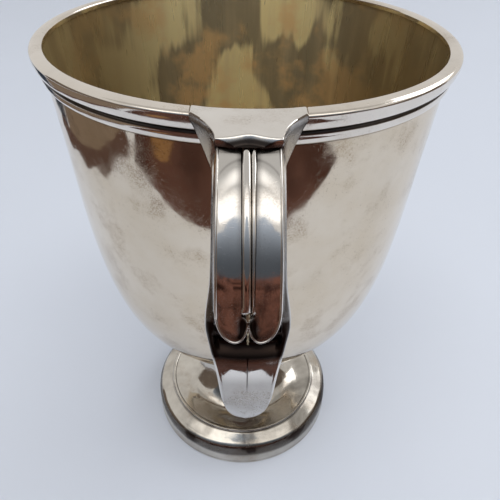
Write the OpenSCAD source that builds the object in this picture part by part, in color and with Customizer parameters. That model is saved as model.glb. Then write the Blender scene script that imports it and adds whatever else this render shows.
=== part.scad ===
// Two-handled silver presentation cup on a stem and round foot.
// Millimetres, +Z up. The origin is on the axis, in the plane that the foot stands on.
// The two handles lie along Y: the front handle on the -Y side, the rear handle on the +Y side.
// Left and right of a handle are as seen by someone who faces that handle.

/* [Bowl] */
// Inner radius of the mouth
mouth_r = 58; // [54:1:62]
// Height of the bowl, from its underside to the rim
bowl_h = 121.8; // [116:0.2:130]
// Radius of the bowl's body, before the lip flares
body_r = 55.2; // [52:0.1:57]
// How far the lip flares out of the body
lip_flare = 4.4; // [4:0.1:5]
// Depth over which the flare dies away
flare_fall = 52; // [40:1:70]
// How long the side stays upright before it turns in: larger is a squarer bowl
side_power = 4.4; // [3.6:0.1:5]
// How full the shoulder is where the side turns into the bottom
turn_power = 2.8; // [2.2:0.1:3.2]
// Wall thickness
wall = 0.9; // [0.8:0.1:1.4]

/* [Rim wires] */
// Depth of the seat where the top bead and the handle caps sit on the wall's edge
rim_seat = 1.8; // [1.4:0.1:2]
// Height of the top bead
bead_h = 4.5; // [4:0.1:5]
// Outer radius of the top bead
bead_r = 61.8; // [61.6:0.05:62.4]
// Depth of the groove between the bead and the reed under it
groove_h = 1.1; // [0.8:0.1:1.4]
// Height of the reed
reed_h = 2.6; // [2:0.1:3]
// Outer radius of the reed
reed_r = 60.3; // [60.1:0.05:60.8]

/* [Stem and foot] */
// Height of the stem and foot together
stem_h = 53.9; // [48:0.1:58]
// Radius of the stem's neck
neck_r = 11.5; // [9:0.5:13]
// Outer radius of the collar under the bowl
collar_r = 15; // [13.5:0.5:16.5]
// Radius of the foot at its widest
foot_r = 41.6; // [40:0.2:44]
// Height of the foot's moulding, up to its step ring
foot_h = 14.2; // [13.6:0.2:15]
// Height of the upright band at the bottom of the moulding
band_h = 7.4; // [6.6:0.1:8]
// Outer radius of the step ring on top of the moulding
step_r = 34.4; // [34:0.1:35]
// Thickness of the spun foot and stem
spun_t = 1.2; // [1:0.1:1.4]

/* [Handles] */
// Reach of a handle from the axis of the cup
handle_reach = 98.4; // [96:0.2:101]
// Radius of the handle's upper bend
upper_bend = 40.5; // [39:0.5:42]
// Radius of the handle's lower bend
lower_bend = 37; // [36:0.5:38]
// Depth below the rim of the handle's furthest point
reach_drop = 39.9; // [39.6:0.1:40.1]
// Thickness of the handle, from front to back
handle_t = 6; // [5:0.1:7]
// Width between the two sharp lips of the handle's front
lips_w = 12.3; // [11:0.1:12.6]
// Depth of the flutes in the handle's front
flute_d = 1.5; // [1:0.1:1.8]
// Wall scale of a hollow handle half: the part of the section that is empty
hollow = 0.56; // [0.4:0.02:0.62]
// Half width of the handle cap where it covers the rim
cap_half = 12.3; // [11:0.1:14]

/* [Hidden] */

silver = "#c9c6c0";
bright_silver = "#dcdad6";
gilt = "#b79a56";
$fn = 128;

rim_z = stem_h + bowl_h;
bowl_steps = 36;
cap_front = 72;
bend_y = handle_reach - upper_bend;
lower_bend_y = handle_reach - lower_bend;

// Angles along a handle, in degrees from the vertical: 90 is the furthest point from the axis.
start_angle = acos((reach_drop - rim_seat - 0.04) / upper_bend);
end_angle = 180;
rib_end = 66.5;
lobe_end = 74.5;

function smooth(x, low, high) =
    let (t = min(1, max(0, (x - low) / (high - low))))
    t * t * (3 - 2 * t);

function hump(x, centre, spread) = exp(-pow((x - centre) / spread, 2));

// Cubic curve through a short list of [place, value] pairs.
function slope_at(table, i) =
    let (a = max(0, i - 1), b = min(len(table) - 1, i + 1))
    (table[b][1] - table[a][1]) / (table[b][0] - table[a][0]);

function curve(x, table, i = 0) =
    x <= table[0][0] ? table[0][1]
    : i >= len(table) - 1 ? table[len(table) - 1][1]
    : x > table[i + 1][0] ? curve(x, table, i + 1)
    : let (
        h = table[i + 1][0] - table[i][0],
        t = (x - table[i][0]) / h,
        m0 = slope_at(table, i) * h,
        m1 = slope_at(table, i + 1) * h
    )
    (2 * pow(t, 3) - 3 * t * t + 1) * table[i][1] + (pow(t, 3) - 2 * t * t + t) * m0
    + (3 * t * t - 2 * pow(t, 3)) * table[i + 1][1] + (pow(t, 3) - t * t) * m1;

// ---- Bowl ----

// Radius of a bowl of the given body radius and height, at a depth below the rim.
function bowl_law(depth, radius, height) =
    radius * pow(max(0, 1 - pow(depth / height, side_power)), 1 / turn_power)
    + lip_flare * exp(-depth / flare_fall);

function bowl_r(depth) = bowl_law(depth, body_r, bowl_h);

// Depths that lie closer together towards the bottom, where the side turns in.
function bowl_depths(top, height) = [
    for (i = [0:bowl_steps])
        top + (height - top) * (1 - pow(1 - i / bowl_steps, 2.4))
];

function bowl_outside(top) = [
    for (d = bowl_depths(top, bowl_h)) [bowl_r(d), rim_z - d]
];

function bowl_inside(top) = [
    for (d = bowl_depths(top, bowl_h - wall))
        [bowl_law(d, body_r - wall, bowl_h - wall), rim_z - d]
];

function reversed(list) = [for (i = [len(list) - 1:-1:0]) list[i]];

module bowl() {
    color(gilt)
    rotate_extrude()
    polygon(concat(
        bowl_outside(rim_seat),
        [[0, rim_z - bowl_h], [0, rim_z - bowl_h + wall]],
        reversed(bowl_inside(rim_seat))
    ));
}

// The bowl as a filled body, for cutting what is soldered to it.
module bowl_body() {
    rotate_extrude()
    polygon(concat(bowl_outside(0), [[0, rim_z - bowl_h], [0, rim_z]]));
}

// ---- Rim wires ----

function arc(centre, radii, from, to, steps) = [
    for (i = [0:steps])
        let (a = from + (to - from) * i / steps)
        [centre[0] + radii[0] * cos(a), centre[1] + radii[1] * sin(a)]
];

// Radius of the wall's outside just below the rim, where its facets are straight.
function wall_r(depth) =
    let (p = bowl_outside(rim_seat))
    p[0][0] + (p[1][0] - p[0][0]) * (depth - rim_seat) / (p[0][1] - p[1][1]);

// Round face of a wire: a short quarter above its widest place and a long one below.
function round_face(outer_r, top, width, above, below, steps) =
    let (centre = [outer_r - width, rim_z - top - above])
    concat(
        arc(centre, [width, above], 90, 0, steps),
        arc(centre, [width, below], -90 / steps, -90, steps - 1)
    );

// Bead section: it sits on the wall's edge and rounds over to the outside.
module bead_section() {
    above = 1.2;
    polygon(concat(
        [
            [wall_r(bead_h), rim_z - bead_h],
            [wall_r(rim_seat), rim_z - rim_seat],
            [mouth_r, rim_z - rim_seat]
        ],
        arc([mouth_r + 0.9, rim_z - 0.9], [0.9, 0.9], 180, 90, 4),
        round_face(bead_r, 0, 2.2, above, bead_h - above, 7)
    ));
}

// One length of bead: from cap to cap round one side of the mouth.
// Below the caps its ends slant inwards, along the sides of the roots.
module rim_bead(side) {
    far = 4 * bead_r;
    gap = [
        [-far, rim_z + 1],
        [cap_half, rim_z + 1],
        [cap_half, rim_z - rim_seat],
        [cap_half - 1, rim_z - bead_h],
        [cap_half - 1, rim_z - bead_h - 1],
        [-far, rim_z - bead_h - 1]
    ];
    color(bright_silver)
    difference() {
        rotate_extrude() bead_section();
        rotate([90, 0, 0])
            linear_extrude(far, center = true)
            polygon([for (p = gap) [side * p[0], p[1]]]);
    }
}

// Reed: a smaller wire under the bead, with a dark groove between them.
// Its back lies on the wall, or deeper in where it only serves to cut the roots.
module reed_section(into) {
    top = bead_h + groove_h;
    above = 1.1;
    polygon(concat(
        [[wall_r(top + reed_h) - into, rim_z - top - reed_h], [wall_r(top) - into, rim_z - top]],
        round_face(reed_r, top, 1.15, above, reed_h - above, 5)
    ));
}

module rim_reed() {
    color(silver)
    rotate_extrude() reed_section(0);
}

// ---- Stem and foot ----

collar_z = stem_h - 9;
annulus_in = 26;
annulus_rise = 1.3;
step_h = 0.9;
annulus_out = step_r - 1.4;
base_wire_h = 1.5;
base_wire_r = foot_r - 0.2;

// Outside of the spun stem: a nearly flat annulus, then a trumpet up to the neck.
function stem_outside() =
    let (
        low = foot_h + 0.4,
        high = low + annulus_rise,
        steps = 18
    )
    concat(
        [[annulus_out, low], [annulus_in, high]],
        [
            for (i = [1:steps])
                let (t = i / steps)
                [
                    neck_r + (annulus_in - neck_r) * pow(1 - t, 2.6),
                    high + (collar_z - high) * pow(t, 1.25)
                ]
        ]
    );

module stem() {
    color(silver)
    rotate_extrude()
    polygon(concat(
        stem_outside(),
        [
            for (p = reversed(stem_outside()))
                [p[0] - spun_t * (p[1] > foot_h + 2 ? 1 : 0.4), p[1] - spun_t * 0.9]
        ]
    ));
}

// Collar: a round knop between the stem's neck and the bowl, with a fillet above and below.
module bowl_collar() {
    belly = 2.1;
    bore = neck_r - spun_t;
    fillet = collar_r - 1.9;
    color(bright_silver)
    difference() {
        rotate_extrude()
        polygon(concat(
            [[bore, collar_z], [fillet, collar_z], [fillet, collar_z + 1]],
            arc([collar_r - belly, collar_z + 1 + belly], [belly, belly], -90, 90, 12),
            [
                [fillet, collar_z + 1 + 2 * belly],
                [fillet, collar_z + 2 + 2 * belly],
                [fillet + 2.4, stem_h + 2],
                [bore, stem_h + 2]
            ]
        ));
        bowl_body();
    }
}

module foot_step() {
    bottom = foot_h - 0.6;
    color(bright_silver)
    rotate_extrude()
    polygon(concat(
        [[annulus_out, bottom]],
        arc([annulus_out + 0.4, foot_h + step_h - 0.4], [0.4, 0.4], 180, 90, 3),
        arc([step_r - 0.7, foot_h + step_h - 0.7], [0.7, 0.7], 90, 0, 5),
        [[step_r, bottom]]
    ));
}

// Moulding of the foot: an upright band, a round shoulder and a slope up to the step ring.
function moulding(shrink) =
    let (
        band_top_r = foot_r - 0.008 * pow(band_h - 2, 2),
        shoulder = [4.2, 5.3]
    )
    concat(
        [
            for (i = [0:5])
                let (z = base_wire_h + (band_h - base_wire_h) * i / 6)
                [foot_r - shrink - 0.008 * pow(z - 2, 2), z]
        ],
        arc([band_top_r - shoulder[0], band_h],
            [shoulder[0] - shrink, shoulder[1] - shrink], 0, 67, 10),
        [[step_r, foot_h - shrink]]
    );

module foot_moulding() {
    color(silver)
    rotate_extrude()
    polygon(concat(
        moulding(0),
        [
            [step_r, foot_h - 0.6],
            [annulus_out, foot_h - 0.6],
            [annulus_out, foot_h - 0.6 - spun_t]
        ],
        reversed(moulding(spun_t))
    ));
}

module foot_base_wire() {
    color(silver)
    rotate_extrude()
    polygon(concat(
        [[base_wire_r - 3.4, 0], [base_wire_r - 0.4, 0]],
        arc([base_wire_r - 0.4, base_wire_h / 2], [0.4, base_wire_h / 2], -90, 90, 6),
        [[base_wire_r - 3.4, base_wire_h]]
    ));
}

// ---- Handle: its curve and its section ----

// Point of the handle's front, as [distance from the axis, height over the rim plane].
function front_at(angle) =
    angle <= 90
        ? [bend_y + upper_bend * sin(angle), upper_bend * cos(angle) - reach_drop]
        : [lower_bend_y + lower_bend * sin(angle), lower_bend * cos(angle) - reach_drop];

// Half width of the handle at its widest, which is behind its front face.
half_widths = [[20, 7.2], [45, 7], [58, 7.2], [70, 8.1], [78, 7.3],
    [86, 6.1], [97, 5.4], [110, 4.8], [135, 4.2], [180, 4]];
function half_w(angle) = curve(angle, half_widths);

// Thickness: the tongue below the lobes is a little thinner than the strap.
function thick(angle) = handle_t - 1.2 * smooth(angle, 76, 120);

// Half width between the lips, which close in a round lobe at the end of the flutes.
function lip_x(angle) =
    lips_w / 2 * (1 - 0.06 * smooth(angle, 50, 68))
    * (1 - 0.45 * pow(smooth(angle, 66, lobe_end), 2));

// 1 where the front is fluted, 0 where it is plain.
function fluted(angle) =
    smooth(angle, 22, 30) * (1 - smooth(angle, lobe_end - 2, lobe_end + 0.5));

// The tongue starts in a recess behind the lobes and then stands out in a crown.
function recess(angle) = 1.9 * hump(angle, lobe_end + 2.5, 2.6);
function crowned(angle) = smooth(angle, lobe_end - 1, lobe_end + 8);

// Depth of the front surface under the handle's front curve.
function front_d(x, angle) =
    let (
        lip = lip_x(angle),
        f = min(1, x / lip),
        groove = (1 - smooth(x, 1.6, 2)) * (angle < rib_end ? 1 : 0.8),
        flute = flute_d * max(groove, 1 - pow(f, 4)),
        plain = 0.5 * f * f + flute_d * groove,
        strap = fluted(angle) * flute + (1 - fluted(angle)) * plain,
        crown = thick(angle) * 0.55 * (1 - sqrt(max(0, 1 - pow(x / half_w(angle), 2))))
    )
    (1 - crowned(angle)) * strap + crowned(angle) * crown + recess(angle);

// Outline of one half of the section, from the front seam round the side to the back seam.
function half_section(angle) =
    let (
        lip = lip_x(angle),
        w = half_w(angle),
        t = thick(angle),
        fronts = [0, 1.5, 2.1, 0.5 * lip, 0.72 * lip, 0.9 * lip, lip]
    )
    concat(
        [for (x = fronts) [x, front_d(x, angle)]],
        [
            [lip + 0.3, front_d(lip, angle) + 0.35],
            [w - 0.25, t * 0.48],
            [w, t * 0.62],
            [w * 0.86, t * 0.84],
            [w * 0.5, t * 0.97],
            [0, t]
        ]
    );

// The empty inside of a half: the same outline, shrunk towards the middle of the seam.
function hollow_section(angle) =
    let (middle = thick(angle) * 0.56)
    [
        for (p = half_section(angle))
            [p[0] * (1 - 0.9 / half_w(angle)), middle + (p[1] - middle) * hollow]
    ];

function ring(angle) = concat(half_section(angle), reversed(hollow_section(angle)));

// A section point carried to its place on the front handle.
function placed(p, angle, side) =
    let (at = front_at(angle))
    [
        side * p[0],
        -(at[0] - p[1] * sin(angle)),
        rim_z + at[1] - p[1] * cos(angle)
    ];

// The same, slid along Y until it touches the bowl.
function on_bowl(p, angle, side) =
    let (
        q = placed(p, angle, side),
        r = bowl_r(rim_z - q[2])
    )
    [q[0], -sqrt(r * r - q[0] * q[0]), q[2]];

// Solid through a list of closed rings of equal length, capped across its two folded ends.
module loft(rings, flip) {
    n = len(rings[0]);
    m = len(rings);
    sides = [
        for (j = [0:m - 2], i = [0:n - 1], k = [0, 1])
            let (a = j * n + i, b = j * n + (i + 1) % n)
            k == 0 ? [a, b, b + n] : [a, b + n, a + n]
    ];
    caps = [
        for (end = [0, 1], i = [0:n / 2 - 2], k = [0, 1])
            let (
                o = end * (m - 1) * n,
                a = o + i,
                b = o + i + 1,
                c = o + n - 2 - i,
                d = o + n - 1 - i,
                t = k == 0 ? [a, d, c] : [a, c, b]
            )
            end == 0 ? t : [t[0], t[2], t[1]]
    ];
    faces = [for (f = concat(sides, caps)) flip ? [f[0], f[2], f[1]] : f];
    polyhedron(points = [for (r = rings, p = r) p], faces = faces, convexity = 10);
}

// Angles of the rings: closer together round the lobes.
handle_angles = concat(
    [for (i = [0:13]) start_angle + (65 - start_angle) * i / 13],
    [for (a = [67:1.5:85]) a],
    [for (i = [1:12]) 85 + (end_angle - 85) * i / 12]
);

// One hollow half of a handle: side is -1 for the left half and 1 for the right half.
module handle_half(side) {
    color(silver)
    loft(
        concat(
            [for (a = handle_angles) [for (p = ring(a)) placed(p, a, side)]],
            [[for (p = ring(end_angle)) on_bowl(p, end_angle, side)]]
        ),
        side > 0
    );
}

// Half-round wire laid in the groove down the middle of the strap.
// Its width runs from the span at its top to the span at its end.
module rib(top_span, end_span, proud) {
    steps = 22;
    last = rib_end - 0.5;
    angles = [for (i = [0:steps]) start_angle + (last - start_angle) * i / steps];
    color(bright_silver)
    loft(
        [
            for (a = angles)
                let (
                    k = (a - start_angle) / (last - start_angle),
                    span = (1 - k) * top_span + k * end_span,
                    middle = (span[0] + span[1]) / 2,
                    half = (span[1] - span[0]) / 2,
                    base = front_d(0, a)
                )
                [
                    for (i = [0:9])
                        let (turn = 180 - 20 * i)
                        placed(
                            [middle + half * cos(turn), base - (base + proud) * sin(turn)],
                            a,
                            1
                        )
                ]
        ],
        false
    );
}

module rib_wide() {
    rib([-1.35, 0.3], [-1.05, 0.6], 0.05);
}

module rib_narrow() {
    rib([0.36, 1.45], [0.66, 1.05], -0.05);
}

// Thin strip that closes the seam between the two lobes, below the ribs.
module seam_strip() {
    half = 0.2;
    angles = [for (i = [0:6]) rib_end + (lobe_end + 1 - rib_end) * i / 6];
    color(gilt)
    loft(
        [
            for (a = angles)
                let (base = front_d(0, a), top = min(base - 0.2, 0.15 + 0.12 * (a - rib_end)))
                [for (p = [[-half, base], [-half, top], [half, top], [half, base]]) placed(p, a, 1)]
        ],
        false
    );
}

// ---- Handle: its root and cap at the rim ----

root_rows = 8;
root_drop = 16;

// Half width of the cap's top, flaring in a hollow curve towards the rim.
function flare_w(y) =
    let (t = min(1, max(0, (cap_front - y) / (cap_front - 60.5))))
    6.6 + (cap_half - 6.6) * pow(t, 1.9);

// One half of the root: it carries the strap and the cap on the side of the bowl.
module root(side) {
    strap_top = front_at(start_angle);
    strap_back = [
        strap_top[0] - handle_t * sin(start_angle),
        strap_top[1] - handle_t * cos(start_angle)
    ];
    rows = [
        for (i = [0:root_rows])
            let (
                t = i / root_rows,
                top_y = strap_top[0] + (55 - strap_top[0]) * t,
                low_y = strap_back[0] + (55 - strap_back[0]) * t,
                low_z = strap_back[1] - (root_drop - 7.5) * pow(t, 1.6) - 1.2 * sin(180 * t),
                wide = flare_w(top_y),
                narrow = 6.2 + 1.6 * t
            )
            [
                [0, -top_y, rim_z - rim_seat],
                [side * wide, -top_y, rim_z - rim_seat],
                [side * (0.55 * wide + 0.45 * narrow), -(top_y + low_y) / 2,
                    rim_z + (low_z - rim_seat) / 2],
                [side * narrow, -low_y, rim_z + low_z],
                [side * narrow * 0.5, -low_y, rim_z + low_z - 0.3],
                [0, -low_y, rim_z + low_z - 0.4]
            ]
    ];
    color(silver)
    difference() {
        loft(rows, side > 0);
        bowl_body();
        rotate_extrude() reed_section(5);
    }
}

// Flat cap over the root: it lies flush with the bead and ends in a bowed front edge.
module cap() {
    bow = 0.5;
    sides = [
        for (i = [0:10])
            let (y = 60.5 + (cap_front - 60.5) * i / 10)
            [flare_w(y), -y]
    ];
    front = [
        for (i = [-4:4])
            [-6.6 * i / 5, -cap_front - bow * (1 - pow(i / 5, 2))]
    ];
    color(bright_silver)
    translate([0, 0, rim_z - rim_seat])
    linear_extrude(rim_seat)
    difference() {
        polygon(concat(
            [[0, 0], [cap_half, -mouth_r * 0.9]],
            sides,
            front,
            [for (p = reversed(sides)) [-p[0], p[1]]],
            [[-cap_half, -mouth_r * 0.9]]
        ));
        circle(r = mouth_r);
    }
}

module at_rear() {
    rotate([0, 0, 180])
        children();
}

bowl();
rim_bead(-1);  // rim_bead_left
rim_bead(1);  // rim_bead_right
rim_reed();
bowl_collar();
stem();
foot_step();
foot_moulding();
foot_base_wire();
cap();  // front_cap
root(-1);  // front_root_left
root(1);  // front_root_right
handle_half(-1);  // front_handle_left
handle_half(1);  // front_handle_right
rib_wide();  // front_rib_wide
rib_narrow();  // front_rib_narrow
seam_strip();  // front_seam_strip
at_rear() cap();  // rear_cap
at_rear() root(-1);  // rear_root_left
at_rear() root(1);  // rear_root_right
at_rear() handle_half(-1);  // rear_handle_left
at_rear() handle_half(1);  // rear_handle_right
at_rear() rib_wide();  // rear_rib_wide
at_rear() rib_narrow();  // rear_rib_narrow
at_rear() seam_strip();  // rear_seam_strip
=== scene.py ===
import math

import bmesh
import bpy
import numpy as np
from mathutils import Matrix, Vector


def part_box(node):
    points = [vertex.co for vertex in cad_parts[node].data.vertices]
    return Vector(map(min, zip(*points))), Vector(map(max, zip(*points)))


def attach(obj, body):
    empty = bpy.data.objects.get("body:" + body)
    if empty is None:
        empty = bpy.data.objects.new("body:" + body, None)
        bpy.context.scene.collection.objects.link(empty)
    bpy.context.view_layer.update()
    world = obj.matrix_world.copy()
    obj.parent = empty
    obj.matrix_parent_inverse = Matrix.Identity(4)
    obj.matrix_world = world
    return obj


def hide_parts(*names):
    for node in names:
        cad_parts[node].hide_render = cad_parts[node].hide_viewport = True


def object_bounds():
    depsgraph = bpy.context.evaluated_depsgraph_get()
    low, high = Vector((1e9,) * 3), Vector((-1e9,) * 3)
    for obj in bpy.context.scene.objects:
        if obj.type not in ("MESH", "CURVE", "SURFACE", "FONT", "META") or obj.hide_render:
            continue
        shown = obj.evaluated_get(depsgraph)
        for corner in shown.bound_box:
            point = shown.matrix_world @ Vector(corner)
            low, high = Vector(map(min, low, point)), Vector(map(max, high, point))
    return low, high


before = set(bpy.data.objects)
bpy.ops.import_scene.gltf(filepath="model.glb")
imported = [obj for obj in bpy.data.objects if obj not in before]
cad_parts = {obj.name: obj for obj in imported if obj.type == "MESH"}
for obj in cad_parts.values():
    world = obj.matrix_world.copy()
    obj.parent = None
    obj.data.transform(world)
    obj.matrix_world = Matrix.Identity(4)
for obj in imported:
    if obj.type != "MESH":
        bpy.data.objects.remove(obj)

# Two-handled silver presentation cup. Lengths in this script are millimetres until a mesh is made.
CAD_LOW, CAD_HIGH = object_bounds()
MM = 0.001

# ---------------------------------------------------------------------------
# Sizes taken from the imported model
# ---------------------------------------------------------------------------


def box_mm(node):
    low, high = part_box(node)
    return np.array(low) / MM, np.array(high) / MM


RIM_Z = CAD_HIGH.z / MM
BOWL_FOOT_Z = box_mm("bowl")[0][2]
BOWL_H = RIM_Z - BOWL_FOOT_Z
RIM_SEAT = RIM_Z - box_mm("bowl")[1][2]
BEAD_R = -box_mm("rim_bead_left")[0][0]
BEAD_H = RIM_Z - box_mm("rim_bead_left")[0][2]
CAP_HALF = box_mm("front_cap")[1][0]
CAP_FRONT = -box_mm("front_cap")[0][1]
HANDLE_REACH = -box_mm("front_handle_left")[0][1]
FOOT_R = box_mm("foot_moulding")[1][0]
STEP_R = box_mm("foot_step")[1][0]
STEP_TOP = box_mm("foot_step")[1][2]
BASE_WIRE_H = box_mm("foot_base_wire")[1][2]
BASE_WIRE_R = box_mm("foot_base_wire")[1][0]
COLLAR_R = box_mm("bowl_collar")[1][0]
COLLAR_Z = box_mm("bowl_collar")[0][2]

# ---------------------------------------------------------------------------
# The shape laws of part.scad
# ---------------------------------------------------------------------------

MOUTH_R = 58.0
BODY_R = 55.2
WALL = 0.9
LIP_FLARE = 4.4
FLARE_FALL = 52.0
SIDE_POWER = 4.4
TURN_POWER = 2.8
NECK_R = 11.5
ANNULUS_IN = 26.0
SPUN_T = 1.2
BAND_H = 7.4
GROOVE_H = 1.1
UPPER_BEND = 40.5
LOWER_BEND = 37.0
REACH_DROP = 39.9
HANDLE_T = 6.0
CAP_WAIST = 6.6
FLARE_START = 60.5

START_ANGLE = math.degrees(math.acos((REACH_DROP - RIM_SEAT - 0.04) / UPPER_BEND))
END_ANGLE = 180.0
RIB_END = 66.5
LOBE_END = 74.4
HALF_WIDTHS = [(20, 7.2), (45, 7.0), (58, 7.2), (70, 8.1), (78, 7.3),
               (86, 6.1), (97, 5.4), (110, 4.8), (135, 4.2), (180, 4.0)]


def smooth(x, low, high):
    t = np.clip((np.asarray(x, float) - low) / (high - low), 0, 1)
    return t * t * (3 - 2 * t)


def hump(x, centre, spread):
    return np.exp(-(((np.asarray(x, float) - centre) / spread) ** 2))


def curve(x, table):
    """Cubic curve through a short list of (place, value) pairs."""
    px, py = (np.array(c, float) for c in zip(*table))
    last = len(px) - 1
    slopes = np.array([
        (py[min(i + 1, last)] - py[max(i - 1, 0)]) / (px[min(i + 1, last)] - px[max(i - 1, 0)])
        for i in range(len(px))
    ])
    x = np.clip(np.asarray(x, float), px[0], px[-1])
    i = np.clip(np.searchsorted(px, x) - 1, 0, last - 1)
    h = px[i + 1] - px[i]
    t = (x - px[i]) / h
    return ((2 * t**3 - 3 * t**2 + 1) * py[i] + (t**3 - 2 * t**2 + t) * slopes[i] * h
            + (3 * t**2 - 2 * t**3) * py[i + 1] + (t**3 - t**2) * slopes[i + 1] * h)


def bowl_law(depth, radius, height):
    body = np.clip(1 - (np.asarray(depth, float) / height) ** SIDE_POWER, 0, None)
    return radius * body ** (1 / TURN_POWER) + LIP_FLARE * np.exp(-np.asarray(depth, float) / FLARE_FALL)


def bowl_r(depth):
    return bowl_law(depth, BODY_R, BOWL_H)


def front_at(angle):
    """Point of the handle's front: distance from the axis, and height over the rim plane."""
    a = np.radians(angle)
    upper = np.asarray(angle) <= 90
    y = np.where(upper, HANDLE_REACH - UPPER_BEND + UPPER_BEND * np.sin(a),
                 HANDLE_REACH - LOWER_BEND + LOWER_BEND * np.sin(a))
    z = np.where(upper, UPPER_BEND * np.cos(a), LOWER_BEND * np.cos(a)) - REACH_DROP
    return y, z


def on_handle(x, depth, angle, turned):
    """Row-frame points (mm) from section coordinates: x across, depth under the front curve."""
    y, z = front_at(angle)
    a = np.radians(angle)
    p = np.stack(np.broadcast_arrays(x, -(y - depth * np.sin(a)), RIM_Z + z - depth * np.cos(a)), -1)
    return p * (-1, -1, 1) if turned else p


def half_width(angle):
    return curve(angle, HALF_WIDTHS)


def thickness(angle):
    return HANDLE_T - 1.2 * smooth(angle, 76, 120)


# ---------------------------------------------------------------------------
# Meshes
# ---------------------------------------------------------------------------


def turn_outwards(mesh):
    """Turns every face of a closed mesh outwards."""
    work = bmesh.new()
    work.from_mesh(mesh)
    bmesh.ops.recalc_face_normals(work, faces=work.faces)
    work.to_mesh(mesh)
    work.free()


def make_piece(name, verts, faces, materials, marks=None, slots=None, sharp=40):
    """A mesh piece from points in millimetres. marks holds 0..1 vertex values for the materials."""
    mesh = bpy.data.meshes.new(name)
    mesh.from_pydata((np.asarray(verts) * MM).tolist(), [], faces)
    for key, values in (marks or {}).items():
        layer = mesh.attributes.new(key, "FLOAT", "POINT")
        layer.data.foreach_set("value", np.asarray(values, np.float32).ravel())
    for material in materials:
        mesh.materials.append(material)
    if slots is not None:
        mesh.polygons.foreach_set("material_index", slots)
    mesh.polygons.foreach_set("use_smooth", [True] * len(mesh.polygons))
    mesh.validate()
    turn_outwards(mesh)
    mesh.update()
    mesh.set_sharp_from_angle(angle=math.radians(sharp))
    piece = bpy.data.objects.new(name, mesh)
    bpy.context.collection.objects.link(piece)
    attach(piece, "root")
    return piece


def grid_faces(rows, columns, wrap_rows=False, wrap_columns=False):
    """Quads between rows of points that are stored row by row."""
    faces = []
    for j in range(rows if wrap_rows else rows - 1):
        for i in range(columns if wrap_columns else columns - 1):
            a = j * columns + i
            b = j * columns + (i + 1) % columns
            c = ((j + 1) % rows) * columns + (i + 1) % columns
            d = ((j + 1) % rows) * columns + i
            faces.append((a, b, c, d))
    return faces


def tube_faces(rows, columns):
    """The faces of a tube whose closed sections are stored row by row, with both of its ends."""
    last = (rows - 1) * columns
    return grid_faces(rows, columns, False, True) + [list(range(columns)), list(range(last, last + columns))]


def arc(centre, radii, start, stop, steps):
    a = np.radians(np.linspace(start, stop, steps + 1))
    return [(centre[0] + radii[0] * math.cos(t), centre[1] + radii[1] * math.sin(t)) for t in a]


def refine(points, longest):
    """The same outline with its long straight stretches cut into short ones."""
    out = []
    for p, q in zip(points, points[1:] + points[:1]):
        if math.dist(p, q) < 1e-6:
            continue
        cuts = max(1, math.ceil(math.dist(p, q) / longest))
        out += [(p[0] + (q[0] - p[0]) * k / cuts, p[1] + (q[1] - p[1]) * k / cuts) for k in range(cuts)]
    return out


def spin(name, outline, materials, node, segments=256, tarnish_and_shade=None, longest=3.0, ends=None, wobble=None):
    """A closed outline of (radius, height) points turned round the axis.
    ends gives the half width of the gap that the ring leaves for each cap at a height, and its side."""
    outline = refine(outline, longest)
    r = np.array([p[0] for p in outline])[:, None]
    z = np.array([p[1] for p in outline])[:, None]
    whole = ends is None
    if whole:
        turn = np.linspace(0, 2 * np.pi, segments, endpoint=False)[None, :]
        turn = np.repeat(turn, len(outline), 0)
    else:
        gap, side = ends
        edge = np.arcsin(gap(z) / r)
        turn = edge + (np.pi - 2 * edge) * np.linspace(0, 1, segments)[None, :]
        turn = turn if side > 0 else turn + np.pi
    if wobble is not None:
        r, z = wobble(r, z, turn)
    verts = np.stack(np.broadcast_arrays(r * np.sin(turn), r * -np.cos(turn), z), -1).reshape(-1, 3)
    n = len(verts) // len(outline)
    faces = grid_faces(len(outline), n, True, whole)
    if not whole:
        faces.append([j * n for j in range(len(outline))])
        faces.append([j * n + n - 1 for j in range(len(outline))])
    marks = None
    if tarnish_and_shade is not None:
        marks = {"tarnish_and_shade": np.repeat([tarnish_and_shade(*p) for p in outline], n)}
    piece = make_piece(name, verts, faces, materials, marks)
    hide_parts(node)
    return piece


# ---------------------------------------------------------------------------
# Materials
# ---------------------------------------------------------------------------

# Dark colour for tarnish specks, and for painted shade where the tarnish_and_shade mark is high.
DARK_TARNISH_AND_SHADE = (0.03, 0.02, 0.016, 1)
BROWN_TARNISH = (0.33, 0.22, 0.12, 1)


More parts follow.
